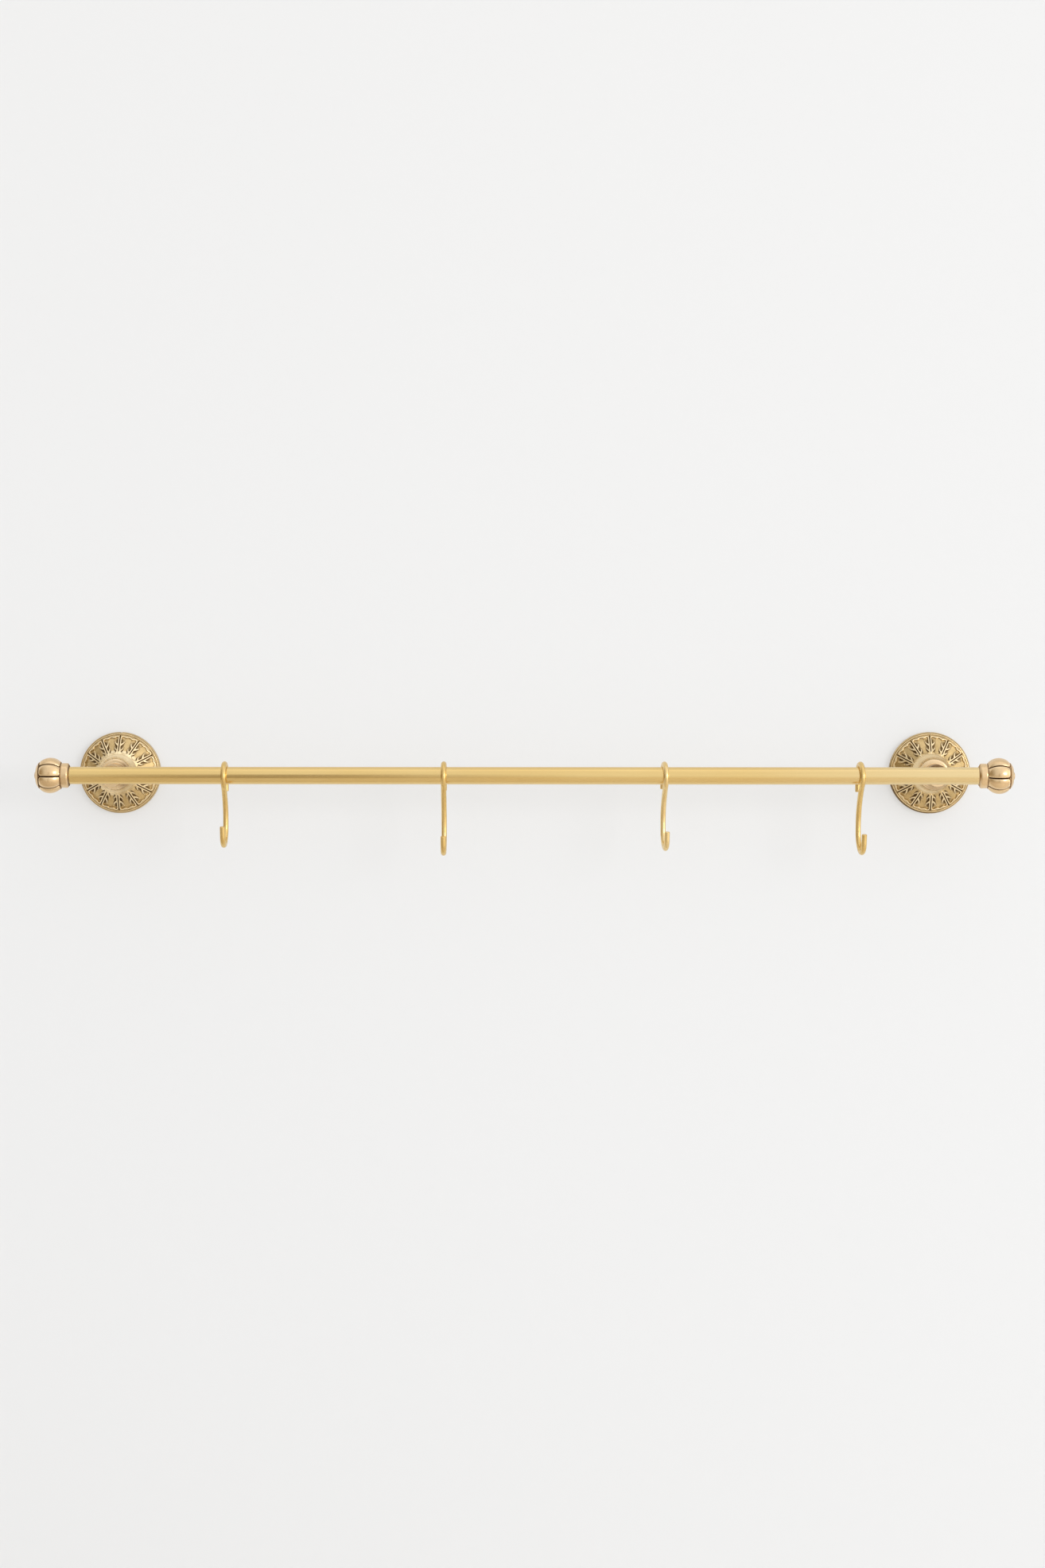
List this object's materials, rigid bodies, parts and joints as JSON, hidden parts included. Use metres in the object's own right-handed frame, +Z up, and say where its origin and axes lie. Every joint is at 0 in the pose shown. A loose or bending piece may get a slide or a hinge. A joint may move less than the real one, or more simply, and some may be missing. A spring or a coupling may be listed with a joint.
{
  "type": "kitchen utensil rail",
  "caption": "Wall-mounted brass rail on carved round rosettes, with lobed end finials and bent-wire hooks that slide along it to hang kitchen utensils.",
  "frame": {"origin": "on the wall plane, midway between the two rosettes, at the height of the rail's axis", "axes": "+X along the rail to the viewer's right, +Y into the wall, +Z up"},
  "size_m": [0.7116, 0.0741, 0.0881],
  "materials": {
    "rail_brass": "satin, drawn lengthwise",
    "cast_brass": "satin, dark in the recesses",
    "hook_brass": "satin, hand bent",
    "inner_brass": "as turned",
    "steel": "zinc plated"
  },
  "bodies": {
    "rail": {"rail_tube": "rail_brass", "left_rosette": "cast_brass", "left_post": "cast_brass", "left_finial": "cast_brass", "left_wall_plate": "steel", "left_top_set_screw": "steel", "left_bottom_set_screw": "steel", "left_post_screw": "steel", "left_finial_stud": "steel", "left_rail_slug": "inner_brass", "left_end_plug": "inner_brass", "right_rosette": "cast_brass", "right_post": "cast_brass", "right_finial": "cast_brass", "right_wall_plate": "steel", "right_top_set_screw": "steel", "right_bottom_set_screw": "steel", "right_post_screw": "steel", "right_finial_stud": "steel", "right_rail_slug": "inner_brass", "right_end_plug": "inner_brass"},
    "hook_1": {"hook_1": "hook_brass"},
    "hook_2": {"hook_2": "hook_brass"},
    "hook_3": {"hook_3": "hook_brass"},
    "hook_4": {"hook_4": "hook_brass"}
  },
  "joints": [
    {"name": "hook_1_slide", "type": "slide", "parent": "rail", "child": "hook_1", "axis": [1, 0, 0], "range_m": [-0.069, 0.075]},
    {"name": "hook_2_slide", "type": "slide", "parent": "rail", "child": "hook_2", "axis": [1, 0, 0], "range_m": [-0.075, 0.076]},
    {"name": "hook_3_slide", "type": "slide", "parent": "rail", "child": "hook_3", "axis": [1, 0, 0], "range_m": [-0.076, 0.066]},
    {"name": "hook_4_slide", "type": "slide", "parent": "rail", "child": "hook_4", "axis": [1, 0, 0], "range_m": [-0.066, 0.042]}
  ]
}
